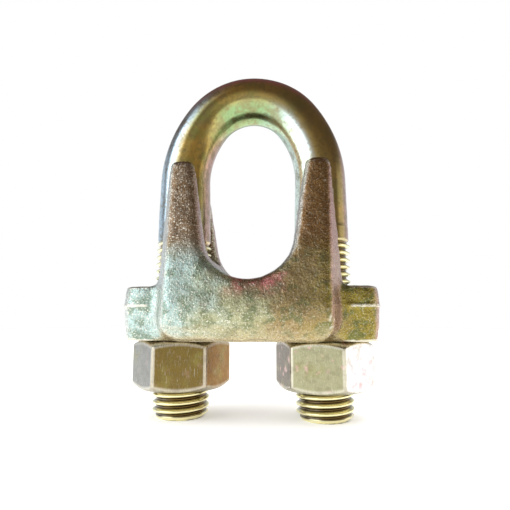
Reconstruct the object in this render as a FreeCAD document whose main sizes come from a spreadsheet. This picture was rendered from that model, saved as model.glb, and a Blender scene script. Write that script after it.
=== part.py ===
import FreeCAD, Part
import math
import os

import Sketcher
from FreeCAD import Placement, Rotation, Vector

# Wire rope clip: a U-bolt, a forged saddle and two hexagon nuts.
# Frame: X across the two legs, Y along the rope, Z up the legs.
# The origin is the middle of the base, and the legs stand on Z = 0.

doc = FreeCAD.newDocument("wire_rope_clip")


# ---------------------------------------------------------------- driving dimensions

DIMENSIONS = [
    # name, value in mm (or degrees)
    ("thread_pitch", 2.0),          # M16 coarse
    ("thread_dia", 15.7),           # crests of the rolled thread
    ("thread_root_dia", 13.55),
    ("thread_length", 48.4),
    ("shank_dia", 15.2),            # plain bar above the thread
    ("crown_dia", 13.8),            # the bar is drawn thinner over the bend
    ("leg_spacing", 40.0),          # axis to axis
    ("full_bar_height", 56.0),      # the bar starts to thin here
    ("bend_start", 66.0),           # the legs start to curve in here
    ("side_bend_radius", 32.0),     # centreline radius of the bend's flatter sides
    ("crown_height", 92.0),         # centreline at the top of the bend
    ("leg_chamfer", 1.4),
    ("nut_flats", 23.8),
    ("nut_height", 13.0),
    ("nut_lift", 8.0),              # underside of the nuts above the leg ends
    ("nut_bore_dia", 14.0),         # crests of the nut's thread
    ("nut_thread_dia", 16.0),       # roots of the nut's thread
    ("nut_corner_radius", 1.0),
    ("nut_face_dia", 22.6),         # bearing circle left by the nut's end chamfers
    ("nut_turn_left", 11.0),        # how far each nut's corners are turned from the X axis
    ("nut_turn_right", -12.0),
    ("seat_gap", 0.05),             # nut to saddle
    ("saddle_length", 69.0),        # over the two ears
    ("ear_width", 25.0),
    ("ear_height", 14.5),
    ("parting_height", 9.2),        # forging parting plane above the underside
    ("ear_corner", 5.0),
    ("ear_draft", 4.0),
    ("leg_hole_dia", 17.0),
    ("rope_groove_radius", 12.0),   # for rope of 20 to 22 mm
    ("groove_floor", 16.0),         # lowest point of the groove above the underside
    ("prong_height", 49.9),
    ("prong_foot", 26.2),           # half width of the cradle at its underside, beside the leg slot
    ("prong_tip_outer", 22.6),      # the same at the prong tips
    ("prong_tip_inner", 15.2),
    ("prong_draft", 8.0),           # inner faces of the prongs, from vertical
    ("flank_angle", 24.0),          # seen from above, the flanks close in towards both ends
    ("belly_height", 6.5),          # widest level of the cradle along the rope
    ("cradle_depth", 19.5),         # half length along the rope, at that level
    ("cradle_heel", 16.0),          # half length along the rope, at the underside
    ("prong_tip_depth", 10.5),      # half length along the rope, at the prong tips
    ("leg_slot_floor", 22.0),       # floor of the slot between front and rear prongs
    ("foot_radius", 6.0),           # corners of the cradle's foot, seen along the rope
    ("tip_radius", 2.6),            # corners of the prong tips, seen along the rope
    ("belly_radius", 9.0),          # where the cradle's ends turn under
    ("rim_radius", 2.6),            # edge all round both ends of the cradle and prongs
    ("ear_edge_radius", 1.4),
]

sheet = doc.addObject("Spreadsheet::Sheet", "Dimensions")
for row, (alias, value) in enumerate(DIMENSIONS, start=1):
    sheet.set("A%d" % row, alias)
    sheet.set("B%d" % row, str(value))
    sheet.setAlias("B%d" % row, alias)
doc.recompute()

size = dict(DIMENSIONS)


# ---------------------------------------------------------------- helpers

def body_named(label):
    body = doc.addObject("PartDesign::Body", label)
    body.Label = label
    return body


def origin_feature(body, role):
    for feature in body.Origin.OriginFeatures:
        if feature.Role == role:
            return feature
    raise ValueError(role)


def sketch_on(body, plane, name, offset=None):
    sketch = body.newObject("Sketcher::SketchObject", name)
    sketch.AttachmentSupport = (origin_feature(body, plane), [""])
    sketch.MapMode = "FlatFace"
    if offset is not None:
        sketch.AttachmentOffset = Placement(offset, Rotation())
    return sketch


def add_polygon(sketch, corners):
    # A closed run of straight lines; returns the geometry numbers.
    lines = []
    for start, end in zip(corners, corners[1:] + corners[:1]):
        segment = Part.LineSegment(Vector(start[0], start[1], 0), Vector(end[0], end[1], 0))
        lines.append(sketch.addGeometry(segment, False))
    for index, line in enumerate(lines):
        following = lines[(index + 1) % len(lines)]
        sketch.addConstraint(Sketcher.Constraint("Coincident", line, 2, following, 1))
    return lines


def place_corners(sketch, lines, rules):
    # Ties the start of each line to a pair of spreadsheet formulas.
    for line, (formula_x, formula_y) in zip(lines, rules):
        for kind, formula in (("DistanceX", formula_x), ("DistanceY", formula_y)):
            point = sketch.getPoint(line, 1)
            value = point.x if kind == "DistanceX" else point.y
            index = sketch.addConstraint(Sketcher.Constraint(kind, -1, 1, line, 1, value))
            sketch.setExpression("Constraints[%d]" % index, formula)


def edges_where(feature, test):
    names = []
    for index, edge in enumerate(feature.Shape.Edges, start=1):
        if test(edge):
            names.append("Edge%d" % index)
    return names


def round_edges(body, base, names, name, radius):
    rounding = body.newObject("PartDesign::Fillet", name)
    rounding.Base = (base, names)
    rounding.setExpression("Radius", radius)
    doc.recompute()
    return rounding


def helical_groove(body, sketch, name, height):
    groove = body.newObject("PartDesign::SubtractiveHelix", name)
    groove.Profile = sketch
    groove.ReferenceAxis = (sketch, ["V_Axis"])
    groove.Mode = "pitch-height-angle"
    groove.setExpression("Pitch", "Dimensions.thread_pitch")
    groove.setExpression("Height", height)
    groove.LeftHanded = False
    groove.Reversed = False
    return groove


# ---------------------------------------------------------------- U-bolt

FLANK = "tan(30 deg)"


def bend_path(body):
    # The tops of the legs, two flatter side arcs and a tighter crown arc, each tangent to the next.
    path = sketch_on(body, "XZ_Plane", "u_bolt_path")
    half = size["leg_spacing"] / 2
    foot = size["full_bar_height"]
    start = size["bend_start"]
    side_radius = size["side_bend_radius"]
    rise = size["crown_height"] - start
    crown_radius = (2 * half * side_radius - half ** 2 - rise ** 2) / (2 * (side_radius - rise))
    crown_centre = size["crown_height"] - crown_radius
    inset = side_radius - half
    turn = math.atan2(crown_centre - start, inset)
    arcs = []
    for centre_x, centre_y, radius, first, last in (
        (inset, start, side_radius, math.pi - turn, math.pi),
        (0, crown_centre, crown_radius, turn, math.pi - turn),
        (-inset, start, side_radius, 0, turn),
    ):
        circle = Part.Circle(Vector(centre_x, centre_y, 0), Vector(0, 0, 1), radius)
        arcs.append(path.addGeometry(Part.ArcOfCircle(circle, first, last), False))
    left = path.addGeometry(Part.LineSegment(Vector(-half, foot, 0), Vector(-half, start, 0)), False)
    right = path.addGeometry(Part.LineSegment(Vector(half, start, 0), Vector(half, foot, 0)), False)
    path.addConstraint(Sketcher.Constraint("Vertical", left))
    path.addConstraint(Sketcher.Constraint("Vertical", right))
    path.addConstraint(Sketcher.Constraint("Tangent", left, 2, arcs[0], 2))
    path.addConstraint(Sketcher.Constraint("Tangent", arcs[0], 1, arcs[1], 2))
    path.addConstraint(Sketcher.Constraint("Tangent", arcs[1], 1, arcs[2], 2))
    path.addConstraint(Sketcher.Constraint("Tangent", arcs[2], 1, right, 1))
    path.addConstraint(Sketcher.Constraint("Horizontal", left, 1, right, 2))
    path.addConstraint(Sketcher.Constraint("PointOnObject", arcs[1], 3, -2))
    path.addConstraint(Sketcher.Constraint("Equal", arcs[0], arcs[2]))
    spread = path.addConstraint(Sketcher.Constraint("DistanceX", left, 1, right, 2, 2 * half))
    path.setExpression("Constraints[%d]" % spread, "Dimensions.leg_spacing")
    bottom = path.addConstraint(Sketcher.Constraint("DistanceY", -1, 1, left, 1, foot))
    path.setExpression("Constraints[%d]" % bottom, "Dimensions.full_bar_height")
    straight = path.addConstraint(Sketcher.Constraint("DistanceY", left, 1, left, 2, start - foot))
    path.setExpression("Constraints[%d]" % straight, "Dimensions.bend_start - Dimensions.full_bar_height")
    bow = path.addConstraint(Sketcher.Constraint("Radius", arcs[0], side_radius))
    path.setExpression("Constraints[%d]" % bow, "Dimensions.side_bend_radius")
    doc.recompute()
    return path


def bar_section(body, name, plane, offset, diameter, rules):
    # A round section of the bar; rules tie the sketch's offset to the dimensions.
    section = sketch_on(body, plane, name, offset)
    for axis, formula in rules:
        section.setExpression("AttachmentOffset.Base." + axis, formula)
    ring = section.addGeometry(Part.Circle(Vector(0, 0, 0), Vector(0, 0, 1), size[diameter] / 2), False)
    section.addConstraint(Sketcher.Constraint("Coincident", ring, 3, -1, 1))
    width = section.addConstraint(Sketcher.Constraint("Diameter", ring, size[diameter]))
    section.setExpression("Constraints[%d]" % width, "Dimensions." + diameter)
    return section


def bent_bar(body):
    # The bend, thinning from the top of each leg to the crown.
    path = bend_path(body)
    half = size["leg_spacing"] / 2
    feet = []
    for side, name in ((-1, "bar_left"), (1, "bar_right")):
        offset = Vector(side * half, 0, size["full_bar_height"])
        rules = [("x", "%d * Dimensions.leg_spacing / 2" % side), ("z", "Dimensions.full_bar_height")]
        feet.append(bar_section(body, name, "XY_Plane", offset, "shank_dia", rules))
    crown = bar_section(
        body, "bar_crown", "YZ_Plane", Vector(0, size["crown_height"], 0), "crown_dia",
        [("y", "Dimensions.crown_height")],
    )
    doc.recompute()
    bar = body.newObject("PartDesign::AdditivePipe", "u_bolt_bend")
    bar.Profile = feet[0]
    bar.Spine = (path, ["Edge%d" % number for number in range(1, 6)])
    bar.Transformation = "Multisection"
    bar.Sections = [crown, feet[1]]
    doc.recompute()


def leg_cylinders(body):
    # Each leg is a plain shank, with the rolled thread standing a little proud of it.
    for part, diameter, length in (
        ("shank", "shank_dia", "full_bar_height"),
        ("thread_blank", "thread_dia", "thread_length"),
    ):
        for side, name in ((-1, "left"), (1, "right")):
            offset = Vector(side * size["leg_spacing"] / 2, 0, 0)
            rules = [("x", "%d * Dimensions.leg_spacing / 2" % side)]
            circle = bar_section(body, "%s_%s_outline" % (part, name), "XY_Plane", offset, diameter, rules)
            blank = body.newObject("PartDesign::Pad", "%s_%s" % (part, name))
            blank.Profile = circle
            blank.setExpression("Length", "Dimensions." + length)
            doc.recompute()
    ends = edges_where(blank, lambda edge: edge.BoundBox.ZMax < 0.01)
    chamfer = body.newObject("PartDesign::Chamfer", "leg_ends")
    chamfer.Base = (blank, ends)
    chamfer.setExpression("Size", "Dimensions.leg_chamfer")
    doc.recompute()


def leg_thread(body, side):
    # A V groove cut up one leg, sketched beside that leg's axis.
    offset = Vector(side * size["leg_spacing"] / 2, 0, 0)
    name = "left" if side < 0 else "right"
    sketch = sketch_on(body, "XZ_Plane", "thread_profile_" + name, offset)
    sketch.setExpression("AttachmentOffset.Base.x", "%d * Dimensions.leg_spacing / 2" % side)
    root = "Dimensions.thread_root_dia / 2"
    mouth = "Dimensions.thread_dia / 2 + 0.2"
    narrow = "Dimensions.thread_pitch / 12"
    wide = "(%s + (%s - %s) * %s)" % (narrow, mouth, root, FLANK)
    start = "(-1 * Dimensions.thread_pitch)"
    lines = add_polygon(sketch, [(6.8, -2.2), (8.0, -2.9), (8.0, -1.1), (6.8, -1.8)])
    place_corners(sketch, lines, [
        (root, "%s - %s" % (start, narrow)),
        (mouth, "%s - %s" % (start, wide)),
        (mouth, "%s + %s" % (start, wide)),
        (root, "%s + %s" % (start, narrow)),
    ])
    doc.recompute()
    helical_groove(body, sketch, "thread_" + name, "Dimensions.thread_length + Dimensions.thread_pitch")
    doc.recompute()


def make_u_bolt():
    body = body_named("u_bolt")
    bent_bar(body)
    leg_cylinders(body)
    leg_thread(body, -1)
    leg_thread(body, 1)
    return body


# ---------------------------------------------------------------- nuts

def nut_hexagon(body, turn_name):
    sketch = sketch_on(body, "XY_Plane", body.Label + "_hexagon")
    radius = size["nut_flats"] / math.sqrt(3)
    turn = size[turn_name]
    angles = [math.radians(turn + 60 * k) for k in range(6)]
    lines = add_polygon(sketch, [(radius * math.cos(a), radius * math.sin(a)) for a in angles])
    corner = "Dimensions.nut_flats / sqrt(3) * %s((Dimensions.%s + %d) * 1 deg)"
    place_corners(sketch, lines, [
        (corner % ("cos", turn_name, 60 * k), corner % ("sin", turn_name, 60 * k)) for k in range(6)
    ])
    doc.recompute()
    block = body.newObject("PartDesign::Pad", body.Label + "_block")
    block.Profile = sketch
    block.setExpression("Length", "Dimensions.nut_height")
    doc.recompute()
    corners = edges_where(block, lambda edge: edge.BoundBox.ZLength > 12)
    return round_edges(body, block, corners, body.Label + "_corners", "Dimensions.nut_corner_radius")


def nut_end_chamfers(body):
    # One revolved cut takes the hexagon's corners off at both ends at 30 degrees.
    sketch = sketch_on(body, "XZ_Plane", body.Label + "_chamfer_profile")
    face = "Dimensions.nut_face_dia / 2"
    beyond = "(Dimensions.nut_flats / 2 + 3)"
    drop = "(%s - %s) * %s" % (beyond, face, FLANK)
    low = add_polygon(sketch, [(11.3, 0), (11.3, -1), (14.9, -1), (14.9, 2)])
    place_corners(sketch, low, [(face, "0"), (face, "-1"), (beyond, "-1"), (beyond, drop)])
    top = "Dimensions.nut_height"
    high = add_polygon(sketch, [(11.3, 13), (11.3, 14), (14.9, 14), (14.9, 11)])
    place_corners(sketch, high, [
        (face, top),
        (face, top + " + 1"),
        (beyond, top + " + 1"),
        (beyond, "%s - %s" % (top, drop)),
    ])
    doc.recompute()
    cut = body.newObject("PartDesign::Groove", body.Label + "_end_chamfers")
    cut.Profile = sketch
    cut.ReferenceAxis = (sketch, ["V_Axis"])
    cut.Angle = 360
    doc.recompute()


def nut_bore(body):
    # The bore and both of its countersinks, revolved in one cut.
    sketch = sketch_on(body, "XZ_Plane", body.Label + "_bore_profile")
    crest = "Dimensions.nut_bore_dia / 2"
    mouth = "(Dimensions.nut_thread_dia / 2 + 0.3)"
    sink = "(%s - %s) * 0.75" % (mouth, crest)
    top = "Dimensions.nut_height"
    lines = add_polygon(sketch, [(0, -1), (8.3, -1), (8.3, 0), (7, 1), (7, 12), (8.3, 13), (8.3, 14), (0, 14)])
    place_corners(sketch, lines, [
        ("0", "-1"),
        (mouth, "-1"),
        (mouth, "0"),
        (crest, sink),
        (crest, "%s - %s" % (top, sink)),
        (mouth, top),
        (mouth, top + " + 1"),
        ("0", top + " + 1"),
    ])
    doc.recompute()
    cut = body.newObject("PartDesign::Groove", body.Label + "_bore")
    cut.Profile = sketch
    cut.ReferenceAxis = (sketch, ["V_Axis"])
    cut.Angle = 360
    doc.recompute()


def nut_thread(body):
    # The groove follows the leg's ridge, 0.08 mm clear of each flank. Its turns lie half a
    # pitch above the leg's groove, so the two mesh at rest.
    sketch = sketch_on(body, "XZ_Plane", body.Label + "_thread_profile")
    inside = "(Dimensions.nut_bore_dia / 2 - 0.1)"
    root = "Dimensions.nut_thread_dia / 2"
    leg_root = "Dimensions.thread_root_dia / 2"
    pitch = "Dimensions.thread_pitch"
    half_ridge = "(%s / 2 - %s / 12 - (%%s - %s) * %s + 0.08)" % (pitch, pitch, leg_root, FLANK)
    narrow = half_ridge % root
    wide = half_ridge % inside
    start = "(-0.5 * %s - %s)" % (pitch, pitch)
    lines = add_polygon(sketch, [(6.9, -3.8), (8.0, -3.2), (8.0, -2.8), (6.9, -2.2)])
    place_corners(sketch, lines, [
        (inside, "%s - %s" % (start, wide)),
        (root, "%s - %s" % (start, narrow)),
        (root, "%s + %s" % (start, narrow)),
        (inside, "%s + %s" % (start, wide)),
    ])
    doc.recompute()
    helical_groove(body, sketch, body.Label + "_thread", "Dimensions.nut_height + 3 * Dimensions.thread_pitch")
    doc.recompute()


def make_nut(label, side, turn_name):
    body = body_named(label)
    nut_hexagon(body, turn_name)
    nut_end_chamfers(body)
    nut_bore(body)
    nut_thread(body)
    body.setExpression("Placement.Base.x", "%d * Dimensions.leg_spacing / 2" % side)
    body.setExpression("Placement.Base.z", "Dimensions.nut_lift")
    doc.recompute()
    return body


# ---------------------------------------------------------------- saddle

def cradle_block(body):
    # Seen along the rope: two prongs with the rope groove between them. The flanks are cut later.
    sketch = sketch_on(body, "XZ_Plane", "cradle_outline")
    radius = size["rope_groove_radius"]
    draft = math.radians(size["prong_draft"])
    centre = size["groove_floor"] + radius
    touch = Vector(radius * math.cos(draft), centre - radius * math.sin(draft), 0)
    blank = size["prong_foot"] + size["cradle_depth"] / 2
    tip_in = size["prong_tip_inner"]
    top = size["prong_height"]
    corners = [
        Vector(touch.x, touch.y, 0),
        Vector(tip_in, top, 0),
        Vector(blank, top, 0),
        Vector(blank, 0, 0),
    ]
    mirrored = [Vector(-point.x, point.y, 0) for point in reversed(corners)]
    run = corners + mirrored
    lines = []
    for start, end in zip(run, run[1:]):
        lines.append(sketch.addGeometry(Part.LineSegment(start, end), False))
    circle = Part.Circle(Vector(0, centre, 0), Vector(0, 0, 1), radius)
    groove = sketch.addGeometry(Part.ArcOfCircle(circle, math.pi + draft, 2 * math.pi - draft), False)
    for first, second in zip(lines, lines[1:]):
        sketch.addConstraint(Sketcher.Constraint("Coincident", first, 2, second, 1))
    sketch.addConstraint(Sketcher.Constraint("Coincident", lines[-1], 2, groove, 1))
    sketch.addConstraint(Sketcher.Constraint("Coincident", groove, 2, lines[0], 1))
    bow = sketch.addConstraint(Sketcher.Constraint("Radius", groove, radius))
    sketch.setExpression("Constraints[%d]" % bow, "Dimensions.rope_groove_radius")
    angle = "Dimensions.prong_draft * 1 deg"
    reach = "Dimensions.rope_groove_radius"
    level = "Dimensions.groove_floor + Dimensions.rope_groove_radius"
    half_rules = [
        ("%s * cos(%s)" % (reach, angle), "%s - %s * sin(%s)" % (level, reach, angle)),
        ("Dimensions.prong_tip_inner", "Dimensions.prong_height"),
        ("Dimensions.prong_foot + Dimensions.cradle_depth / 2", "Dimensions.prong_height"),
        ("Dimensions.prong_foot + Dimensions.cradle_depth / 2", "0"),
    ]
    mirror_rules = [("-1 * (%s)" % rule_x, rule_y) for rule_x, rule_y in reversed(half_rules)]
    place_corners(sketch, lines, (half_rules + mirror_rules)[:len(lines)])
    last = lines[-1]
    for kind, formula in zip(("DistanceX", "DistanceY"), mirror_rules[-1]):
        value = -touch.x if kind == "DistanceX" else touch.y
        index = sketch.addConstraint(Sketcher.Constraint(kind, -1, 1, last, 2, value))
        sketch.setExpression("Constraints[%d]" % index, formula)
    doc.recompute()
    block = body.newObject("PartDesign::Pad", "cradle_block")
    block.Profile = sketch
    block.Midplane = True
    block.setExpression("Length", "2 * (Dimensions.cradle_depth + 1)")
    doc.recompute()
    return block


def cradle_slopes(body):
    # Seen across the legs: both ends lean in to the prong tips and tuck under at the foot.
    sketch = sketch_on(body, "YZ_Plane", "cradle_side_cuts")
    heel = "Dimensions.cradle_heel"
    belly = "Dimensions.cradle_depth"
    tip = "Dimensions.prong_tip_depth"
    outside = "(Dimensions.cradle_depth + 3)"
    low = "-1"
    belly_level = "Dimensions.belly_height"
    top = "Dimensions.prong_height"
    for side in (1, -1):
        corners = [(16, -1), (16, 0), (19.5, 6.5), (10.5, 49.9), (10.5, 51), (22.5, 51), (22.5, -1)]
        lines = add_polygon(sketch, [(side * u, v) for u, v in corners])
        rules = [
            (heel, low),
            (heel, "0"),
            (belly, belly_level),
            (tip, top),
            (tip, top + " + 1"),
            (outside, top + " + 1"),
            (outside, low),
        ]
        place_corners(sketch, lines, [("%d * %s" % (side, u), v) for u, v in rules])
    doc.recompute()
    cut = body.newObject("PartDesign::Pocket", "cradle_slopes")
    cut.Profile = sketch
    cut.Type = "ThroughAll"
    cut.Midplane = True
    doc.recompute()
    return cut


def cradle_flanks(body):
    # Four upright planes, one a quarter, that lean in towards the prong tips.
    sketch = sketch_on(body, "XY_Plane", "cradle_flank_cuts")
    slope = "tan(Dimensions.flank_angle * 1 deg)"
    ridge = "(Dimensions.prong_foot + Dimensions.leg_hole_dia / 2 * %s)" % slope
    beyond = "(Dimensions.cradle_depth + 3)"
    inner = "(%s - %s * %s)" % (ridge, beyond, slope)
    outside = "(%s + 12)" % ridge
    for side_x in (1, -1):
        for side_y in (1, -1):
            corners = [(29.9, 0), (20.0, 22.5), (42.0, 22.5), (42.0, 0)]
            lines = add_polygon(sketch, [(side_x * x, side_y * y) for x, y in corners])
            rules = [(ridge, "0"), (inner, beyond), (outside, beyond), (outside, "0")]
            place_corners(
                sketch, lines, [("%d * %s" % (side_x, x), "%d * %s" % (side_y, y)) for x, y in rules]
            )
    doc.recompute()
    lean = "atan((Dimensions.prong_foot - Dimensions.prong_tip_outer) / Dimensions.prong_height"
    cut = body.newObject("PartDesign::Pocket", "cradle_flanks")
    cut.Profile = sketch
    cut.setExpression("Length", "Dimensions.prong_height + 1")
    cut.setExpression("TaperAngle", lean + " * cos(Dimensions.flank_angle * 1 deg))")
    cut.Reversed = True
    doc.recompute()
    return cut


def leg_slot(body):
    # A straight slot across the cradle parts the front prongs from the rear, deeper outside the legs.
    half = size["leg_spacing"] / 2
    wide = size["leg_hole_dia"] / 2
    outer = size["prong_foot"] + size["cradle_depth"] / 2 + 1
    beyond = "(Dimensions.prong_foot + Dimensions.cradle_depth / 2 + 1)"
    leg, width = "Dimensions.leg_spacing / 2", "Dimensions.leg_hole_dia / 2"
    for name, spans, floor in (
        ("leg_slot", ((-outer, "-1 * " + beyond, outer, beyond),), "leg_slot_floor"),
        (
            "leg_slot_ends",
            ((-outer, "-1 * " + beyond, -half, "-1 * " + leg), (half, leg, outer, beyond)),
            "ear_height",
        ),
    ):
        sketch = sketch_on(body, "XY_Plane", name, Vector(0, 0, size[floor]))
        sketch.setExpression("AttachmentOffset.Base.z", "Dimensions." + floor)
        for left, left_rule, right, right_rule in spans:
            corners = [(left, -wide), (right, -wide), (right, wide), (left, wide)]
            lines = add_polygon(sketch, corners)
            place_corners(sketch, lines, [
                (left_rule, "-1 * " + width),
                (right_rule, "-1 * " + width),
                (right_rule, width),
                (left_rule, width),
            ])
        doc.recompute()
        cut = body.newObject("PartDesign::Pocket", name + "_cut")
        cut.Profile = sketch
        cut.Type = "ThroughAll"
        cut.Reversed = True
        doc.recompute()
    return cut


def soften_cradle(body, base):
    # Foot and tip corners first, then the flanks and belly, then both rims in one smooth run.
    top = size["prong_height"]

    def at_flank(level):
        def test(edge):
            box = edge.BoundBox
            runs_along_rope = box.YLength > 1.5 * box.XLength
            return abs(box.ZMin - level) < 0.01 and abs(box.ZMax - level) < 0.01 and runs_along_rope
        return test

    foot = edges_where(base, at_flank(0))
    step = round_edges(body, base, foot, "foot_corners", "Dimensions.foot_radius")
    tips = edges_where(step, at_flank(top))
    step = round_edges(body, step, tips, "tip_corners", "Dimensions.tip_radius")

    def on_belly(edge):
        level = abs(edge.CenterOfMass.z - size["belly_height"]) < 0.01
        return level and edge.BoundBox.ZLength < 0.01 and edge.BoundBox.XLength > 1

    belly = edges_where(step, on_belly)
    step = round_edges(body, step, belly, "belly_edges", "Dimensions.belly_radius")

    def depth_at(height):
        # Half length along the rope, of the cradle before its ends were rounded.
        if height < size["belly_height"]:
            share = height / size["belly_height"]
            return size["cradle_heel"] + share * (size["cradle_depth"] - size["cradle_heel"])
        share = (height - size["belly_height"]) / (top - size["belly_height"])
        return size["cradle_depth"] + share * (size["prong_tip_depth"] - size["cradle_depth"])

    def on_rim(edge):
        at_an_end = all(depth_at(vertex.Z) - abs(vertex.Y) < 0.6 for vertex in edge.Vertexes)
        is_belly = edge.BoundBox.XLength > 40 and 2 < edge.CenterOfMass.z < 15
        return at_an_end and not is_belly

    rim = edges_where(step, on_rim)
    return round_edges(body, step, rim, "rims", "Dimensions.rim_radius")


def ear_outline(body):
    sketch = sketch_on(body, "XY_Plane", "ear_outline", Vector(0, 0, size["parting_height"]))
    sketch.setExpression("AttachmentOffset.Base.z", "Dimensions.parting_height")
    radius = size["ear_corner"]
    x = size["saddle_length"] / 2
    y = size["ear_width"] / 2
    inner_x, inner_y = x - radius, y - radius
    sides = []
    for start, end in (
        ((-inner_x, -y), (inner_x, -y)),
        ((x, -inner_y), (x, inner_y)),
        ((inner_x, y), (-inner_x, y)),
        ((-x, inner_y), (-x, -inner_y)),
    ):
        sides.append(sketch.addGeometry(Part.LineSegment(Vector(*start, 0), Vector(*end, 0)), False))
    corners = []
    for quarter, (centre_x, centre_y) in enumerate(
        ((inner_x, -inner_y), (inner_x, inner_y), (-inner_x, inner_y), (-inner_x, -inner_y))
    ):
        circle = Part.Circle(Vector(centre_x, centre_y, 0), Vector(0, 0, 1), radius)
        start = (quarter - 1) * math.pi / 2
        corners.append(sketch.addGeometry(Part.ArcOfCircle(circle, start, start + math.pi / 2), False))
    for index, corner in enumerate(corners):
        sketch.addConstraint(Sketcher.Constraint("Tangent", sides[index], 2, corner, 1))
        sketch.addConstraint(Sketcher.Constraint("Tangent", corner, 2, sides[(index + 1) % 4], 1))
    for corner in corners[1:]:
        sketch.addConstraint(Sketcher.Constraint("Equal", corners[0], corner))
    for side, orientation in zip(sides, ("Horizontal", "Vertical", "Horizontal", "Vertical")):
        sketch.addConstraint(Sketcher.Constraint(orientation, side))
    for kind, first, second, value, formula in (
        ("DistanceX", (-1, 1), (sides[1], 1), x, "Dimensions.saddle_length / 2"),
        ("DistanceX", (sides[3], 1), (-1, 1), x, "Dimensions.saddle_length / 2"),
        ("DistanceY", (-1, 1), (sides[2], 1), y, "Dimensions.ear_width / 2"),
        ("DistanceY", (sides[0], 1), (-1, 1), y, "Dimensions.ear_width / 2"),
    ):
        index = sketch.addConstraint(Sketcher.Constraint(kind, *first, *second, value))
        sketch.setExpression("Constraints[%d]" % index, formula)
    bend = sketch.addConstraint(Sketcher.Constraint("Radius", corners[0], radius))
    sketch.setExpression("Constraints[%d]" % bend, "Dimensions.ear_corner")
    doc.recompute()
    return sketch


def ears(body):
    # Two drafted halves, above and below the forging parting plane.
    sketch = ear_outline(body)
    for name, reversed_pad, height in (
        ("ears_upper", False, "Dimensions.ear_height - Dimensions.parting_height"),
        ("ears_lower", True, "Dimensions.parting_height"),
    ):
        pad = body.newObject("PartDesign::Pad", name)
        pad.Profile = sketch
        pad.Reversed = reversed_pad
        pad.setExpression("Length", height)
        pad.setExpression("TaperAngle", "-1 * Dimensions.ear_draft")
        doc.recompute()
    return pad


def soften_ears(body, base):
    # Only edges of the ears' own outline reach out as far as its rounded corners.
    corner_start = size["saddle_length"] / 2 - size["ear_corner"]

    def on_ear_top(edge):
        box = edge.BoundBox
        reach = max(box.XMax, -box.XMin)
        level = abs(box.ZMax - size["ear_height"]) < 0.01 and box.ZLength < 0.01
        return level and reach > corner_start - 0.1

    upper = edges_where(base, on_ear_top)
    return round_edges(body, base, upper, "ear_tops", "Dimensions.ear_edge_radius")


def leg_passages(body):
    # Two round holes, straight down through the ears.
    holes = sketch_on(body, "XY_Plane", "leg_holes")
    half = size["leg_spacing"] / 2
    for side in (-1, 1):
        circle = Part.Circle(Vector(side * half, 0, 0), Vector(0, 0, 1), size["leg_hole_dia"] / 2)
        ring = holes.addGeometry(circle, False)
        holes.addConstraint(Sketcher.Constraint("PointOnObject", ring, 3, -1))
        place = holes.addConstraint(Sketcher.Constraint("DistanceX", -1, 1, ring, 3, side * half))
        holes.setExpression("Constraints[%d]" % place, "%d * Dimensions.leg_spacing / 2" % side)
        width = holes.addConstraint(Sketcher.Constraint("Diameter", ring, size["leg_hole_dia"]))
        holes.setExpression("Constraints[%d]" % width, "Dimensions.leg_hole_dia")
    doc.recompute()
    drill = body.newObject("PartDesign::Pocket", "leg_holes_cut")
    drill.Profile = holes
    drill.Type = "ThroughAll"
    drill.Reversed = True
    doc.recompute()


def make_saddle():
    body = body_named("saddle")
    cradle_block(body)
    cradle_slopes(body)
    cradle_flanks(body)
    soften_cradle(body, leg_slot(body))
    ear_pads = ears(body)
    soften_ears(body, ear_pads)
    leg_passages(body)
    body.setExpression(
        "Placement.Base.z", "Dimensions.nut_lift + Dimensions.nut_height + Dimensions.seat_gap"
    )
    doc.recompute()
    return body


# ---------------------------------------------------------------- build and write

def check(body):
    for feature in [body] + body.Group:
        if "Invalid" in feature.State or "Error" in feature.State:
            raise RuntimeError("%s failed" % feature.Name)
    if body.Shape.isNull() or not body.Shape.isValid() or len(body.Shape.Solids) != 1:
        raise RuntimeError("%s is not one valid solid" % body.Label)


make_u_bolt()
make_saddle()
make_nut("nut_left", -1, "nut_turn_left")
make_nut("nut_right", 1, "nut_turn_right")

os.makedirs("parts", exist_ok=True)
for body in doc.findObjects("PartDesign::Body"):
    check(body)
    body.Shape.exportStep("parts/%s.step" % body.Label)
    print("%s: %.0f mm3" % (body.Label, body.Shape.Volume))
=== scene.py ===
import math

import bmesh
import bpy
import numpy as np
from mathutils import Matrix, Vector, noise


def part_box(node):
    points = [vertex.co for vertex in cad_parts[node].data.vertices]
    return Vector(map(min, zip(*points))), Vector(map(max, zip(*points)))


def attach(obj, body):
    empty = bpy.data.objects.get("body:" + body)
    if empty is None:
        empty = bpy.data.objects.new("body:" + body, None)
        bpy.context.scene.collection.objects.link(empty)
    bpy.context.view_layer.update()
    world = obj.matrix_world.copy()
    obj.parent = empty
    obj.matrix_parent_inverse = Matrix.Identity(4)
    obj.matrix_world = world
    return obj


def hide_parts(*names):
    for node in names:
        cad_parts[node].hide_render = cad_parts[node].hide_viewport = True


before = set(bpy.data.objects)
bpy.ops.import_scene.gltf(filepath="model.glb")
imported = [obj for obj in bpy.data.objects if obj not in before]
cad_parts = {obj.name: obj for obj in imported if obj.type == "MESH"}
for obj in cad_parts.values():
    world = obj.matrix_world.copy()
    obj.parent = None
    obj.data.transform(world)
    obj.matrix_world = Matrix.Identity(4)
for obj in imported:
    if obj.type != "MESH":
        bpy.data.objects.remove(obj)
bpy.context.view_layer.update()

# Wire rope clip: U-bolt, forged saddle and two nuts, in yellow-chromated steel.
# All lengths are in metres, in the CAD frame: X across the legs, Y along the rope, Z up.

MM = 0.001


# ---------------------------------------------------------------- sizes

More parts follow.
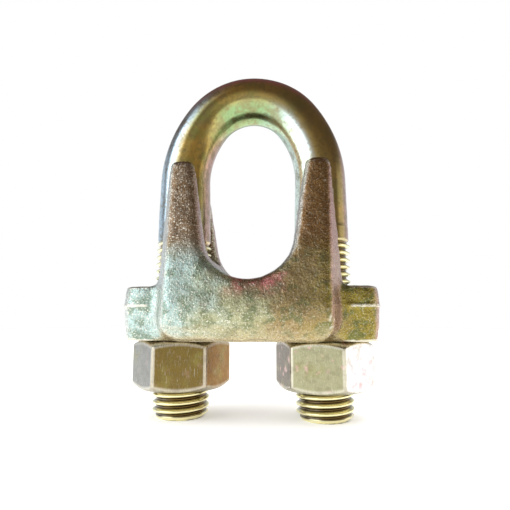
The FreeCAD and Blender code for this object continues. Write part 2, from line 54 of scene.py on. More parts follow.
U_LOW, U_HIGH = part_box("u_bolt")
THREAD_CREST = U_HIGH.y                 # the thread stands a little proud of the plain bar
HALF_SPACING = U_HIGH.x - THREAD_CREST  # axis of a leg from the middle
PITCH = 2.0 * MM
THREAD_ROOT = 6.775 * MM
THREAD_TOP = 48.4 * MM
LEG_CHAMFER = 1.4 * MM
FLANK = math.tan(math.radians(30))

SHANK = 7.6 * MM                        # radius of the plain bar
CROWN = 6.9 * MM                        # its radius at the top of the bend
FULL_BAR_Z = 56.0 * MM                  # the bar starts to thin here
BEND_START = 66.0 * MM                  # the legs start to curve in here
SIDE_BEND = 32.0 * MM                   # centreline radius of the bend's flatter sides
CROWN_Z = U_HIGH.z - CROWN              # centreline at the top of the bend

NUT_APOTHEM = 11.9 * MM
NUT_CORNER = 1.0 * MM
NUT_FACE = 11.3 * MM                    # radius of the bearing circle
NUT_CREST = 7.0 * MM
NUT_ROOT = 8.0 * MM
NUT_MOUTH = 8.3 * MM
NUT_EDGE = 0.5 * MM                     # rounding of its machined edges
NUT_TURN = {"nut_left": 11.0, "nut_right": -12.0}

SADDLE_LOW, SADDLE_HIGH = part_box("saddle")
PARTING_Z = SADDLE_LOW.z + 9.2 * MM     # forging parting plane
PASSAGE = 9.3 * MM                      # kept true round each leg
GROOVE_Z = SADDLE_LOW.z + 16.0 * MM


def smoothstep(low, high, value):
    t = min(1.0, max(0.0, (value - low) / (high - low)))
    return t * t * (3 - 2 * t)


# ---------------------------------------------------------------- mesh helpers

def fillet(before, corner, after, radius, steps):
    """Points of a small arc that rounds one corner of an outline."""
    a = Vector(before) - Vector(corner)
    b = Vector(after) - Vector(corner)
    turn = math.pi - a.angle(b)
    reach = min(radius * math.tan(turn / 2), 0.45 * a.length, 0.45 * b.length)
    start = Vector(corner) + a.normalized() * reach
    end = Vector(corner) + b.normalized() * reach
    points = []
    for k in range(steps + 1):
        t = k / steps
        points.append((1 - t) ** 2 * start + 2 * t * (1 - t) * Vector(corner) + t * t * end)
    return points


def make_object(name, mesh_data, wear_and_highlight):
    """A smooth-shaded object with its faces turned outwards and, on each point, a value for rubbed edges
    and painted edge highlight.
    """
    mesh = bpy.data.meshes.new(name)
    mesh.from_pydata(*mesh_data)
    attribute = mesh.attributes.new("wear_and_highlight", "FLOAT", "POINT")
    attribute.data.foreach_set("value", wear_and_highlight)
    work = bmesh.new()
    work.from_mesh(mesh)
    bmesh.ops.remove_doubles(work, verts=work.verts, dist=1e-6)
    bmesh.ops.dissolve_degenerate(work, edges=work.edges, dist=1e-6)
    bmesh.ops.recalc_face_normals(work, faces=work.faces)
    work.to_mesh(mesh)
    work.free()
    mesh.shade_smooth()
    thing = bpy.data.objects.new(name, mesh)
    bpy.context.scene.collection.objects.link(thing)
    return thing


class Grid:
    """Collects rows of points that go once round, and joins neighbouring rows with quads."""

    def __init__(self):
        self.points = []
        self.faces = []
        self.wear_and_highlight = []

    def add_row(self, row, wear_and_highlight):
        first = len(self.points)
        self.points.extend(row)
        self.wear_and_highlight.extend([wear_and_highlight] * len(row) if isinstance(wear_and_highlight, float) else wear_and_highlight)
        return list(range(first, first + len(row)))

    def join(self, below, above):
        count = len(below)
        for j in range(count):
            k = (j + 1) % count
            self.faces.append((below[j], below[k], above[k], above[j]))

    def object(self, name):
        return make_object(name, (self.points, [], self.faces), self.wear_and_highlight)


def thread_surface(grid, axis_x, angles, outline, bottom, top, limit):
    """A screw surface round a leg axis. Its rows follow the helix, so crests and roots are mesh lines.

    outline is one pitch of (rise, radius, wear); limit(z, radius) trims it at chamfers and run-outs.
    Rows are held between bottom and top, where they close up into flat rings, which are returned.
    """
    def place(turn, step, angle):
        rise, radius, wear_and_highlight = outline[step]
        z = PITCH * (turn + angle / (2 * math.pi)) + rise
        z = min(top, max(bottom, z))
        radius = limit(z, radius)
        return (axis_x + radius * math.cos(angle), radius * math.sin(angle), z), wear_and_highlight

    count = len(outline)
    first = math.floor(bottom / PITCH) - 2
    last = math.ceil(top / PITCH) + 1
    rows = []
    for turn in range(first, last):
        for step in range(count):
            placed = [place(turn, step, angle) for angle in angles]
            rows.append(grid.add_row([p for p, _ in placed], [w for _, w in placed]))
    columns = len(angles)
    for number in range(len(rows) - 1):
        below, above = rows[number], rows[number + 1]
        for j in range(columns - 1):
            grid.faces.append((below[j], below[j + 1], above[j + 1], above[j]))
        # After one whole turn a row meets the row one pitch higher.
        if number + count + 1 < len(rows):
            next_below, next_above = rows[number + count], rows[number + count + 1]
            grid.faces.append((below[-1], next_below[0], next_above[0], above[-1]))
    return rows[0], rows[-1]


# ---------------------------------------------------------------- U-bolt

def leg_outline():
    """One pitch of the leg's thread, from the middle of a groove: sharp V with eased crests and roots."""
    root_half = PITCH / 12
    crest_half = root_half + (THREAD_CREST - THREAD_ROOT) * FLANK
    corners = [
        (root_half, THREAD_ROOT),
        (crest_half, THREAD_CREST),
        (PITCH - crest_half, THREAD_CREST),
        (PITCH - root_half, THREAD_ROOT),
    ]
    ring = [(corners[-1][0] - PITCH, THREAD_ROOT)] + corners + [(corners[0][0] + PITCH, THREAD_ROOT)]
    outline = []
    for before, corner, after in zip(ring, ring[1:], ring[2:]):
        # Crests get the full value, which paints the thread's highlight; roots get none and are painted
        # in shade.
        wear_and_highlight = 1.0 if corner[1] == THREAD_CREST else 0.0
        for point in fillet(before, corner, after, 0.16 * MM, 3):
            outline.append((point[0], point[1], wear_and_highlight))
    return outline


def bar_offset(position):
    """Slight unevenness of a hot-bent bar, inwards only."""
    return 0.06 * MM * (noise.noise(position * 90) - 1)


def centreline():
    """Points of the bar from thread to thread: centre, direction of the opening, way to the crown.

    The way is a share of the stretch over which the bar thins.
    """
    rise = CROWN_Z - BEND_START
    crown_bend = (2 * HALF_SPACING * SIDE_BEND - HALF_SPACING ** 2 - rise ** 2) / (2 * (SIDE_BEND - rise))
    inset = SIDE_BEND - HALF_SPACING
    change = math.atan2(CROWN_Z - crown_bend - BEND_START, inset)
    side_length = SIDE_BEND * change
    crown_length = crown_bend * (math.pi / 2 - change)
    start = THREAD_TOP + 4 * MM
    left = []
    for k in range(9):
        z = start + (BEND_START - start) * k / 9
        left.append((-HALF_SPACING, z, 0.0, BEND_START - z + side_length + crown_length))
    for k in range(24):
        angle = change * k / 24
        x = inset - SIDE_BEND * math.cos(angle)
        z = BEND_START + SIDE_BEND * math.sin(angle)
        left.append((x, z, angle, side_length * (1 - k / 24) + crown_length))
    for k in range(24):
        angle = change + (math.pi / 2 - change) * k / 24
        x = -crown_bend * math.cos(angle)
        z = CROWN_Z - crown_bend + crown_bend * math.sin(angle)
        left.append((x, z, angle, crown_length * (1 - k / 24)))
    top = [(0.0, CROWN_Z, math.pi / 2, 0.0)]
    right = [(-x, z, math.pi - angle, way) for x, z, angle, way in reversed(left)]
    taper_length = BEND_START - FULL_BAR_Z + side_length + crown_length
    stations = []
    for x, z, angle, way in left + top + right:
        inward = Vector((math.cos(angle), 0, -math.sin(angle)))
        stations.append((Vector((x, 0, z)), inward, min(1.0, way / taper_length)))
    return stations


def u_bolt():
    columns = 72
    angles = [2 * math.pi * j / columns for j in range(columns)]
    grid = Grid()
    shank_z = THREAD_TOP + 3.8 * MM
    end_radius = THREAD_CREST - LEG_CHAMFER

    def trim(z, radius):
        fade = smoothstep(THREAD_TOP - 1.5 * MM, THREAD_TOP + 1.2 * MM, z)
        return min(radius + (SHANK - radius) * fade, end_radius + z)

    tops = []
    for side in (-1, 1):
        axis_x = side * HALF_SPACING
        bottom, top = thread_surface(grid, axis_x, angles, leg_outline(), 0.0, shank_z, trim)
        tops.append(top)
        # The sawn end: a narrow rounding, then flat to the middle.
        previous = bottom
        for radius, z in ((end_radius - 0.3 * MM, 0), (3 * MM, 0), (0, 0)):
            ring = [(axis_x + radius * math.cos(a), radius * math.sin(a), z) for a in angles]
            row = grid.add_row(ring, 0.0)
            grid.join(previous, row)
            previous = row

    previous = tops[0]
    for centre, inward, way in centreline():
        radius = CROWN + (SHANK - CROWN) * way ** 2
        ring = []
        for angle in angles:
            outward = inward * math.cos(angle) + Vector((0, math.sin(angle), 0))
            ring.append(centre + outward * (radius + bar_offset(centre + outward * radius)))
        row = grid.add_row(ring, 0.0)
        grid.join(previous, row)
        previous = row
    mirrored = [tops[1][(columns // 2 - j) % columns] for j in range(columns)]
    grid.join(previous, mirrored)
    return grid.object("u_bolt_bar")


# ---------------------------------------------------------------- nuts

def hexagon_radius(offset):
    """Distance from the axis to the side of the nut, offset being the angle from the nearest corner."""
    offset = abs(offset)
    corner_centre = (NUT_APOTHEM - NUT_CORNER) / math.cos(math.radians(30))
    x = corner_centre + NUT_CORNER * math.cos(math.radians(30))
    arc_ends = math.atan2(NUT_CORNER * 0.5, x)
    if offset > arc_ends:
        return NUT_APOTHEM / math.cos(math.radians(30) - offset)
    across = corner_centre * math.sin(offset)
    return corner_centre * math.cos(offset) + math.sqrt(NUT_CORNER ** 2 - across ** 2)


def nut_columns(turn):
    """Angles round the nut, close together at each rounded corner, with the nut's side radius there."""
    offsets = (-24, -18, -12, -6, -3, -2.1, -1.4, -0.7, 0, 0.7, 1.4, 2.1, 3, 6, 12, 18, 24, 30)
    columns = []
    for corner in range(6):
        for offset in offsets:
            angle = math.radians(turn + 60 * corner + offset)
            nearest = offset if offset < 30 else 30
            # Rounded corners are marked for lightening, as rubbed metal and painted highlight.
            edge = 1.0 if abs(offset) < 2.5 else 0.0
            columns.append((angle % (2 * math.pi), hexagon_radius(math.radians(nearest)), edge))
    return sorted(columns)


def nut_section(side, height):
    """Outline of the nut from one countersink round to the other, as (radius, height, wear)."""
    drop = (side - NUT_FACE) * FLANK
    corners = [
        (NUT_MOUTH, 0, 0.0, 0.0),
        (NUT_MOUTH + NUT_EDGE, 0, 0.0, 0.0),
        (NUT_FACE, 0, 0.5, NUT_EDGE),
        (side, drop, 1.0, NUT_EDGE),
        (side, height - drop, 1.0, NUT_EDGE),
        (NUT_FACE, height, 0.5, NUT_EDGE),
        (NUT_MOUTH + NUT_EDGE, height, 0.0, 0.0),
        (NUT_MOUTH, height, 0.0, 0.0),
    ]
    section = [corners[0][:3]]
    for before, corner, after in zip(corners, corners[1:], corners[2:]):
        if corner[3] == 0:
            section.append(corner[:3])
            continue
        for point in fillet(before[:2], corner[:2], after[:2], corner[3], 4):
            section.append((point[0], point[1], corner[2]))
        if corner[0] == side and corner[1] < height / 2:
            for share in (0.08, 0.5, 0.92):
                section.append((side, drop + (height - 2 * drop) * share, 0.0))
    section.append(corners[-1][:3])
    return section


def bore_outline():
    """One pitch of the nut's thread; its ridges sit in the leg's grooves with clearance."""
    clear = 0.08 * MM
    root_half = PITCH / 2 - PITCH / 12 - (NUT_ROOT - THREAD_ROOT) * FLANK + clear
    crest_half = PITCH / 2 - PITCH / 12 - (NUT_CREST - THREAD_ROOT) * FLANK + clear
    middle = PITCH / 2
    corners = [
        (middle - crest_half, NUT_CREST),
        (middle - root_half, NUT_ROOT),
        (middle + root_half, NUT_ROOT),
        (middle + crest_half, NUT_CREST),
    ]
    return [(rise, radius, 0.0) for rise, radius in corners]


def nut(name):
    low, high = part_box(name)
    height = high.z - low.z
    side_sign = -1 if name == "nut_left" else 1
    axis_x = side_sign * HALF_SPACING
    columns = nut_columns(NUT_TURN[name])
    angles = [angle for angle, _, _ in columns]
    slope = 0.75

    def countersink(z, radius):
        depth = min(z - low.z, high.z - z)
        return max(radius, NUT_MOUTH - depth / slope)

    grid = Grid()
    bottom, top = thread_surface(grid, axis_x, angles, bore_outline(), low.z, high.z, countersink)
    sections = [nut_section(side, height) for _, side, _ in columns]
    previous = bottom
    for step in range(len(sections[0])):
        ring, wear_and_highlight = [], []
        for (angle, side, edge), section in zip(columns, sections):
            radius, z, worn_and_lit = section[step]
            ring.append((axis_x + radius * math.cos(angle), radius * math.sin(angle), low.z + z))
            on_side = radius > side - 0.05 * MM
            wear_and_highlight.append(max(worn_and_lit, edge if on_side else 0.0))
        row = grid.add_row(ring, wear_and_highlight)
        grid.join(previous, row)
        previous = row
    grid.join(previous, top)
    return grid.object(name + "_body")


# ---------------------------------------------------------------- saddle

def neighbour_average(points, pairs):
    total = np.zeros_like(points)
    np.add.at(total, pairs[:, 0], points[pairs[:, 1]])
    np.add.at(total, pairs[:, 1], points[pairs[:, 0]])
    count = np.bincount(pairs.ravel(), minlength=len(points))
    return total / np.maximum(count, 1)[:, None]


def mesh_arrays(mesh):
    points = np.empty(len(mesh.vertices) * 3)
    mesh.vertices.foreach_get("co", points)
    pairs = np.empty(len(mesh.edges) * 2, int)
    mesh.edges.foreach_get("vertices", pairs)
    return points.reshape(-1, 3), pairs.reshape(-1, 2)


def point_normals(mesh):
    mesh.update()
    normals = np.empty(len(mesh.vertices) * 3)
    mesh.vertices.foreach_get("normal", normals)
    return normals.reshape(-1, 3)


def store(mesh, points):
    mesh.vertices.foreach_set("co", points.ravel())
    mesh.update()


def fade(low, high, values):
    t = np.clip((values - low) / (high - low), 0, 1)
    return t * t * (3 - 2 * t)


def forged_saddle():
    """The CAD saddle with the soft blends, flash line and uneven skin of a hammer forging."""
    rough = bpy.data.objects.new("saddle_forging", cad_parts["saddle"].data.copy())
    bpy.context.scene.collection.objects.link(rough)
    remesh = rough.modifiers.new("remesh", "REMESH")
    remesh.mode = "VOXEL"
    remesh.voxel_size = 0.42 * MM
    evaluated = rough.evaluated_get(bpy.context.evaluated_depsgraph_get())
    mesh = bpy.data.meshes.new_from_object(evaluated)
    rough.modifiers.clear()
    rough.data = mesh

    points, pairs = mesh_arrays(mesh)
    for _ in range(3):
        points += 0.5 * (neighbour_average(points, pairs) - points)
    store(mesh, points)

    # Forging radii: inner corners outside the leg passage fill up, outer edges keep their place.
    outside = fade(9.0 * MM, 10.5 * MM, np.abs(points[:, 1]))
    for number in range(70):
        if number % 5 == 0:
            store(mesh, points)
            normals = point_normals(mesh)
        pull = neighbour_average(points, pairs) - points
        outward = (pull * normals).sum(1)
        share = np.where(outward > 0, 0.6 * outside, 0.08)
        points += pull * share[:, None]
    store(mesh, points)
    normals = point_normals(mesh)

    # The ears' sides step back from a thin trimmed flash line at the parting plane.
    on_ears = fade(24.5 * MM, 26.0 * MM, np.abs(points[:, 0]))
    upright = 1 - fade(0.4, 0.8, np.abs(normals[:, 2]))
    line = np.exp(-(((points[:, 2] - PARTING_Z) / (0.45 * MM)) ** 2))
    points -= normals * (0.22 * MM * on_ears * upright * (1 - line))[:, None]

    # Scale pits and hammer unevenness, inwards only; the leg passage and the bearing face stay true.
    passage = np.hypot(np.abs(points[:, 0]) - HALF_SPACING, points[:, 1]) < PASSAGE
    seat = points[:, 2] < SADDLE_LOW.z + 0.3 * MM
    skin = np.array([
        0.10 * (noise.noise(Vector(p) * 160) - 0.6)
        + 0.10 * (noise.noise(Vector(p) * 420) - 0.6)
        + 0.06 * (noise.noise(Vector(p) * 1100) - 0.6)
        for p in points
    ]) * MM
    skin[passage | seat] = 0
    points += normals * skin[:, None]
    store(mesh, points)

    # Convex edges get a value that lightens them, both as rubbed bare metal and as painted edge
    # highlight.
    bend = neighbour_average(points, pairs) - points
    for _ in range(3):
        bend += 0.5 * (neighbour_average(bend, pairs) - bend)
    outer = -(bend * normals).sum(1)
    wear_and_highlight = fade(0.006 * MM, 0.03 * MM, outer)
    attribute = mesh.attributes.new("wear_and_highlight", "FLOAT", "POINT")
    attribute.data.foreach_set("value", wear_and_highlight)
    mesh.shade_smooth()
    return rough


# ---------------------------------------------------------------- material helpers

class Nodes:
    """A node tree under construction, with short calls for the nodes it needs."""

    def __init__(self, tree):
        self.tree = tree

    def put(self, socket, value):
        if isinstance(value, bpy.types.NodeSocket):
            self.tree.links.new(value, socket)
        else:
            socket.default_value = value

    def math(self, operation, first, second=0.0):
        node = self.tree.nodes.new("ShaderNodeMath")
        node.operation = operation
        self.put(node.inputs[0], first)
        self.put(node.inputs[1], second)
        return node.outputs[0]

    def times(self, first, second):
        return self.math("MULTIPLY", first, second)

    def dot(self, vector, direction):
        node = self.tree.nodes.new("ShaderNodeVectorMath")
        node.operation = "DOT_PRODUCT"
        self.put(node.inputs[0], vector)
        node.inputs[1].default_value = direction
        return node.outputs["Value"]

    def ramp(self, value, low, high, start=0.0, end=1.0):
        node = self.tree.nodes.new("ShaderNodeMapRange")
        node.interpolation_type = "SMOOTHSTEP"
        self.put(node.inputs["Value"], value)
        for name, number in (("From Min", low), ("From Max", high), ("To Min", start), ("To Max", end)):
            node.inputs[name].default_value = number
        return node.outputs["Result"]

    def mix(self, factor, first, second):
        node = self.tree.nodes.new("ShaderNodeMix")
        node.data_type = "RGBA"
        self.put(node.inputs["Factor"], factor)
        for socket, value in ((node.inputs["A"], first), (node.inputs["B"], second)):
            self.put(socket, (*value, 1.0) if isinstance(value, tuple) else value)
        return node.outputs["Result"]


class Paint(Nodes):
    """A material under construction, worked out in the object's own space."""

    def __init__(self, name):
        self.material = bpy.data.materials.new(name)
        self.material.use_nodes = True
        super().__init__(self.material.node_tree)
        self.shader = self.tree.nodes["Principled BSDF"]
        coordinates = self.tree.nodes.new("ShaderNodeTexCoord")
        self.position = coordinates.outputs["Object"]
        self.normal = coordinates.outputs["Normal"]

    def noise(self, size, detail=2.0, roughness=0.5, stretch=(1, 1, 1), distortion=0.0):
        mapping = self.tree.nodes.new("ShaderNodeMapping")
        mapping.inputs["Scale"].default_value = stretch
        self.put(mapping.inputs["Vector"], self.position)
        node = self.tree.nodes.new("ShaderNodeTexNoise")
        self.put(node.inputs["Vector"], mapping.outputs["Vector"])
        node.inputs["Scale"].default_value = 1 / size
        node.inputs["Detail"].default_value = detail
        node.inputs["Roughness"].default_value = roughness
        node.inputs["Distortion"].default_value = distortion
        return node.outputs["Fac"]

    def attribute(self, name):
        node = self.tree.nodes.new("ShaderNodeAttribute")
        node.attribute_name = name
        return node.outputs["Fac"]

    def bump(self, height, distance, strength=1.0, under=None):
        node = self.tree.nodes.new("ShaderNodeBump")
        node.inputs["Distance"].default_value = distance
        node.inputs["Strength"].default_value = strength
        self.put(node.inputs["Height"], height)
        if under is not None:
            self.put(node.inputs["Normal"], under)
        return node.outputs["Normal"]

    def finish(self, colour, roughness, normal=None):
        self.shader.inputs["Metallic"].default_value = 1.0
        self.put(self.shader.inputs["Base Color"], colour)
        self.put(self.shader.inputs["Roughness"], roughness)
        if normal is not None:
            self.put(self.shader.inputs["Normal"], normal)
        return self.material


# Shared: film colours, a bright colour for rubbed bare metal and for painted highlights and glints, and a
# dark mottling colour. ROSE is a film blush on the nuts and a painted highlight on right-facing surfaces.
GOLD = (0.50, 0.33, 0.09)
OLIVE = (0.28, 0.26, 0.08)
OLIVE_BROWN = (0.26, 0.20, 0.09)
MAGENTA = (0.50, 0.15, 0.15)
ROSE = (0.66, 0.40, 0.38)
BRIGHT = (0.86, 0.82, 0.70)
DARK = (0.10, 0.07, 0.04)
# U-bolt. SKY and MINT_WHITE are painted highlights; BRASS is the painted highlight on the thread crests
# and BROWN the painted shade in its roots.
SKY = (0.56, 0.72, 0.84)
MINT = (0.26, 0.42, 0.20)
MINT_WHITE = (0.82, 0.92, 0.80)
BROWN = (0.10, 0.06, 0.02)
BRASS = (0.95, 0.88, 0.52)
# Saddle. SILVER is a painted highlight and CREAM a painted reflection of the pale floor.
GREY_TEAL = (0.40, 0.52, 0.48)
SAGE = (0.38, 0.38, 0.22)
KHAKI = (0.30, 0.22, 0.10)
OLIVE_GOLD = (0.30, 0.24, 0.05)
DEEP_GREEN = (0.10, 0.14, 0.06)
RUSSET = (0.22, 0.11, 0.045)
SILVER = (0.78, 0.80, 0.76)
CREAM = (0.80, 0.66, 0.40)
# Nuts. Besides the two front colours, these are painted reflections of what each side faces: PALE_ROSE a
# painted highlight, UMBER painted shade.
GOLDEN_BROWN = (0.17, 0.12, 0.035)
SLATE = (0.20, 0.21, 0.20)
AMBER = (0.26, 0.13, 0.025)
BEIGE_GREEN = (0.34, 0.33, 0.20)
UMBER = (0.08, 0.06, 0.03)
PALE_ROSE = (0.80, 0.76, 0.78)


# ---------------------------------------------------------------- materials

def bar_finish():
    """Smooth drawn bar: film colours by the way it faces, with painted highlights on left-facing and
    right-facing surfaces, magenta over the bend, a painted highlight on the thread crests and painted
    shade in its roots.
    """
    paint = Paint("chromated_bar")
    left = paint.dot(paint.normal, (-1, 0, 0))
    up = paint.dot(paint.normal, (0, 0, 1))
    across = paint.dot(paint.position, (1, 0, 0))
    height = paint.dot(paint.position, (0, 0, 1))
    cloud = paint.noise(9 * MM, 3.0, 0.55)
    fine = paint.noise(0.7 * MM, 3.0, 0.6)
    colour = paint.mix(paint.ramp(cloud, 0.40, 0.62), GOLD, OLIVE)
    # Towards the right the bar is darkened to olive-brown: film tone together with painted shade of the
    # side turned away from the key light.
    right_side = paint.ramp(across, -8 * MM, 14 * MM)
    colour = paint.mix(paint.times(right_side, 0.6), colour, OLIVE_BROWN)
    # Left-facing surfaces are painted sky blue, and near white on the right part of the bar: painted
    # highlights of the softbox at the left.
    colour = paint.mix(paint.ramp(left, 0.05, 0.5, 0.0, 0.9), colour, SKY)
    colour = paint.mix(paint.times(right_side, paint.ramp(left, 0.2, 0.6)), colour, MINT_WHITE)
    bend = paint.ramp(height, BEND_START, CROWN_Z)
    colour = paint.mix(paint.times(paint.ramp(up, 0.30, 0.70), bend), colour, MAGENTA)
    colour = paint.mix(paint.times(paint.ramp(up, -0.1, -0.6), bend), colour, MINT)
    # Right-facing surfaces are painted rose: a painted highlight along the right edges.
    colour = paint.mix(paint.ramp(left, -0.7, -0.95, 0.0, 0.7), colour, ROSE)
    colour = paint.mix(paint.ramp(fine, 0.50, 0.64, 0.0, 0.3), colour, DARK)
    smear = paint.noise(3.0 * MM, 4.0, 0.65)
    colour = paint.mix(paint.ramp(smear, 0.52, 0.40, 0.0, 0.55), colour, OLIVE_BROWN)
    # The thread is painted pale brass on the crests as a highlight and dark brown in the roots as shade.
    thread = paint.ramp(height, THREAD_TOP + 1 * MM, THREAD_TOP - 1 * MM)
    brass = paint.mix(paint.attribute("wear_and_highlight"), BROWN, BRASS)
    colour = paint.mix(paint.times(thread, 0.9), colour, brass)
    roughness = paint.ramp(fine, 0.3, 0.7, 0.17, 0.26)
    normal = paint.bump(fine, 0.004 * MM)
    normal = paint.bump(paint.noise(3.0 * MM, 2.0), 0.03 * MM, 0.5, normal)
    return paint.finish(colour, roughness, normal)


def forging_finish():
    """Rough forged skin under the plating: painted glints and dark specks over grey, green, gold and
    magenta film colours, with painted highlights on the left-facing and right-facing surfaces and edges
    and a painted reflection of the floor underneath.
    """
    paint = Paint("chromated_forging")
    left = paint.dot(paint.normal, (-1, 0, 0))
    down = paint.dot(paint.normal, (0, 0, -1))
    across = paint.dot(paint.position, (1, 0, 0))
    height = paint.dot(paint.position, (0, 0, 1))
    cloud = paint.noise(10 * MM, 3.0, 0.6)
    grain = paint.noise(0.50 * MM, 3.0, 0.65)
    sparkle = paint.noise(0.38 * MM, 2.0, 0.6)
    # Across the saddle the film colour drifts from grey-teal at the left to olive gold at the right; the
    # lighter left also stands for the side the key light falls on, so this is partly painted light.
    drift = paint.math("ADD", across, paint.times(paint.math("SUBTRACT", cloud, 0.5), 30 * MM))
    colour = paint.mix(paint.ramp(drift, -16 * MM, -4 * MM), GREY_TEAL, SAGE)
    colour = paint.mix(paint.ramp(drift, -1 * MM, 8 * MM), colour, KHAKI)
    colour = paint.mix(paint.ramp(drift, 12 * MM, 26 * MM), colour, OLIVE_GOLD)
    stain = paint.times(paint.ramp(drift, -9 * MM, -2 * MM), paint.ramp(drift, 8 * MM, 2 * MM))
    under_groove = paint.ramp(height, GROOVE_Z - 6 * MM, GROOVE_Z - 1 * MM)
    stain = paint.times(stain, under_groove)
    colour = paint.mix(paint.times(stain, 0.9), colour, MAGENTA)
    patches = paint.noise(3.2 * MM, 4.0, 0.6)
    colour = paint.mix(paint.ramp(patches, 0.54, 0.40, 0.0, 0.6), colour, DEEP_GREEN)
    prongs = paint.ramp(height, GROOVE_Z + 2 * MM, GROOVE_Z + 12 * MM)
    colour = paint.mix(paint.times(prongs, 0.85), colour, RUSSET)
    # Painted highlights: silver on left-facing surfaces, rose on right-facing edges; cream underneath is
    # a painted reflection of the pale floor.
    colour = paint.mix(paint.ramp(left, 0.3, 0.8, 0.0, 0.8), colour, SILVER)
    colour = paint.mix(paint.ramp(left, -0.5, -0.9, 0.0, 0.6), colour, ROSE)
    colour = paint.mix(paint.ramp(down, 0.3, 0.8, 0.0, 0.7), colour, CREAM)
    # Darker in the low spots of the grain bump.
    colour = paint.mix(paint.ramp(grain, 0.48, 0.34, 0.0, 0.45), colour, DARK)
    # Painted glints: bright dots from the sparkle noise, stronger towards the left where the key light
    # falls.
    brighter_left = paint.ramp(drift, 14 * MM, -22 * MM, 0.3, 0.9)
    painted_glints = paint.times(paint.ramp(sparkle, 0.54, 0.68), brighter_left)
    colour = paint.mix(painted_glints, colour, BRIGHT)
    # Convex edges are lightened: partly rubbed bare metal, partly painted highlight.
    colour = paint.mix(paint.ramp(paint.attribute("wear_and_highlight"), 0.2, 0.8, 0.0, 0.65), colour, BRIGHT)
    roughness = paint.ramp(grain, 0.3, 0.7, 0.38, 0.22)
    normal = paint.bump(grain, 0.20 * MM, 1.0)
    normal = paint.bump(paint.noise(1.6 * MM, 2.0), 0.10 * MM, 0.5, normal)
    return paint.finish(colour, roughness, normal)


def nut_finish(name, front, left, right, blush_share):
    """Machined nut: a film colour in front, a painted reflection for each of the left-facing and
    right-facing sides, fine scratches, and corners lightened as rubbed metal and painted highlight.
    """
    paint = Paint("chromated_" + name)
    facing_left = paint.ramp(paint.dot(paint.normal, (-1, 0, 0)), 0.4, 0.8)
    facing_right = paint.ramp(paint.dot(paint.normal, (1, 0, 0)), 0.4, 0.8)
    cloud = paint.noise(5 * MM, 3.0, 0.55)
    # Left-facing and right-facing sides each get a colour that is a painted reflection: pale for a lit
    # side, dark for a shaded one.
    colour = paint.mix(facing_left, front, left)
    colour = paint.mix(facing_right, colour, right)
    colour = paint.mix(paint.ramp(cloud, 0.50, 0.70, 0.0, 0.4), colour, OLIVE)
    blush = paint.noise(2.4 * MM, 2.0)
    colour = paint.mix(paint.ramp(blush, 0.58, 0.70, 0.0, blush_share), colour, ROSE)
    marks = paint.noise(1.2 * MM, 4.0, 0.7, (6, 6, 0.7), 0.6)
    colour = paint.mix(paint.ramp(marks, 0.58, 0.68, 0.0, 0.35), colour, BRIGHT)
    # Rounded corners and edges lighten: partly rubbed bare metal, partly painted highlight.
    colour = paint.mix(paint.times(paint.attribute("wear_and_highlight"), 0.45), colour, BRIGHT)
    mottle = paint.noise(1.8 * MM, 4.0, 0.65)
    colour = paint.mix(paint.ramp(mottle, 0.54, 0.36, 0.0, 0.22), colour, DARK)
    roughness = paint.ramp(marks, 0.3, 0.7, 0.20, 0.38)
    normal = paint.bump(marks, 0.02 * MM)
    return paint.finish(colour, roughness, normal)


# ---------------------------------------------------------------- build the pieces

# The side colours passed here are painted reflections; the first colour of each is the film colour in
# front.
LEFT_NUT_FINISH = nut_finish("nut_left", GOLDEN_BROWN, SLATE, AMBER, 0.1)
RIGHT_NUT_FINISH = nut_finish("nut_right", BEIGE_GREEN, UMBER, PALE_ROSE, 0.6)
PIECES = {
    "u_bolt": (u_bolt(), "plated_bar", bar_finish()),
    "saddle": (forged_saddle(), "plated_forging", forging_finish()),
    "nut_left": (nut("nut_left"), "plated_nut", LEFT_NUT_FINISH),
    "nut_right": (nut("nut_right"), "plated_nut", RIGHT_NUT_FINISH),
}
for node, (piece, slot, material) in PIECES.items():
    piece.data.materials.clear()
    piece.data.materials.append(material)
    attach(piece, node)
    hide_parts(node)


# ---------------------------------------------------------------- stage, light and camera

FLOOR_RADIUS = 0.7
LAMP_WIDTH = 3.0
LAMP_HEIGHT = 1.5


def floor():
    """A pale disc that glows a little, so the contact shadow stays soft."""
    mesh = bpy.data.meshes.new("floor")
    angles = [2 * math.pi * k / 96 for k in range(96)]
    rim = [(FLOOR_RADIUS * math.cos(a), FLOOR_RADIUS * math.sin(a), 0) for a in angles]
    mesh.from_pydata(rim, [], [list(range(len(rim)))])
    paint = Paint("pale_floor")
    paint.shader.inputs["Roughness"].default_value = 0.9
    paint.shader.inputs["Base Color"].default_value = (0.86, 0.86, 0.86, 1)
    paint.shader.inputs["Emission Color"].default_value = (1, 1, 1, 1)
    paint.shader.inputs["Emission Strength"].default_value = 0.3
    mesh.materials.append(paint.material)
    thing = bpy.data.objects.new("floor", mesh)
    bpy.context.scene.collection.objects.link(thing)


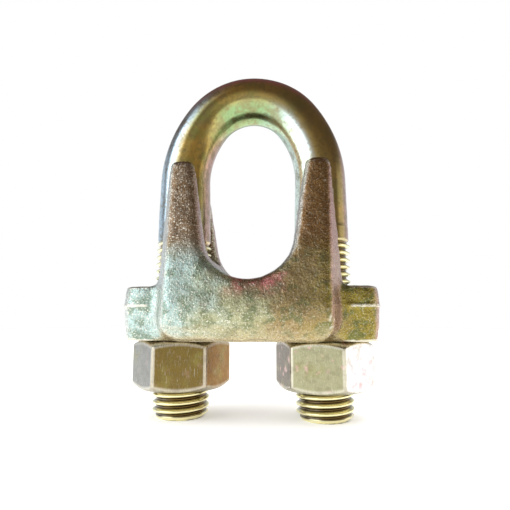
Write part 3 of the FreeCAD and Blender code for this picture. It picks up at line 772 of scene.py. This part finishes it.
def studio():
    """Soft surroundings: a tall cool softbox at the left front, a bright back wall, a dim ceiling."""
    world = bpy.data.worlds.new("studio")
    bpy.context.scene.world = world
    world.use_nodes = True
    sky = Nodes(world.node_tree)
    direction = sky.tree.nodes.new("ShaderNodeTexCoord").outputs["Generated"]
    y = sky.dot(direction, (0, 1, 0))
    z = sky.dot(direction, (0, 0, 1))
    flat = sky.math("SQRT", sky.math("SUBTRACT", 1.0, sky.times(z, z)))

    def around(degrees):
        """Cosine of the horizontal angle between a direction and a compass bearing from +X."""
        bearing = (math.cos(math.radians(degrees)), math.sin(math.radians(degrees)), 0)
        return sky.math("DIVIDE", sky.dot(direction, bearing), flat)

    key = sky.times(sky.ramp(around(212), 0.82, 0.96), sky.ramp(z, 0.85, 0.60))
    back = sky.times(sky.ramp(y, 0.0, 0.45), sky.ramp(z, 0.60, 0.30))
    right = sky.times(sky.ramp(around(8), 0.90, 0.99), sky.ramp(z, 0.5, 0.25))
    front = sky.times(sky.ramp(y, -0.1, -0.6), sky.ramp(z, 0.7, 0.3))
    front_left = sky.times(sky.ramp(around(240), 0.70, 0.98), sky.ramp(z, 0.6, 0.2))
    colour = sky.mix(front, (0.22, 0.18, 0.16), (0.42, 0.37, 0.30))
    colour = sky.mix(front_left, colour, (0.80, 0.84, 0.86))
    colour = sky.mix(back, colour, (0.75, 0.80, 0.86))
    colour = sky.mix(right, colour, (1.5, 1.45, 1.4))
    colour = sky.mix(key, colour, (2.6, 2.75, 2.9))
    seen = sky.tree.nodes.new("ShaderNodeLightPath").outputs["Is Camera Ray"]
    colour = sky.mix(seen, colour, (1.0, 1.0, 1.0))
    sky.tree.links.new(colour, sky.tree.nodes["Background"].inputs["Color"])


def overhead_light():
    """Lights the floor only, so the plated steel mirrors the softer surroundings."""
    data = bpy.data.lights.new("overhead", "AREA")
    data.shape = "SQUARE"
    data.size = LAMP_WIDTH
    data.energy = 60.0
    lamp = bpy.data.objects.new("overhead", data)
    lamp.location = (0, 0, LAMP_HEIGHT)
    lamp.visible_glossy = False
    bpy.context.scene.collection.objects.link(lamp)


def camera():
    """Low in front of the clip, a little right of its middle, looking slightly up."""
    data = bpy.data.cameras.new("camera")
    data.lens = 29.7
    data.clip_start = 0.01
    thing = bpy.data.objects.new("camera", data)
    thing.location = (0.01108, -0.12053, 0.02831)
    thing.rotation_euler = (math.radians(97.86), 0, math.radians(4.84))
    bpy.context.scene.collection.objects.link(thing)
    bpy.context.scene.camera = thing


floor()
studio()
overhead_light()
camera()
bpy.context.scene.view_settings.view_transform = "Standard"
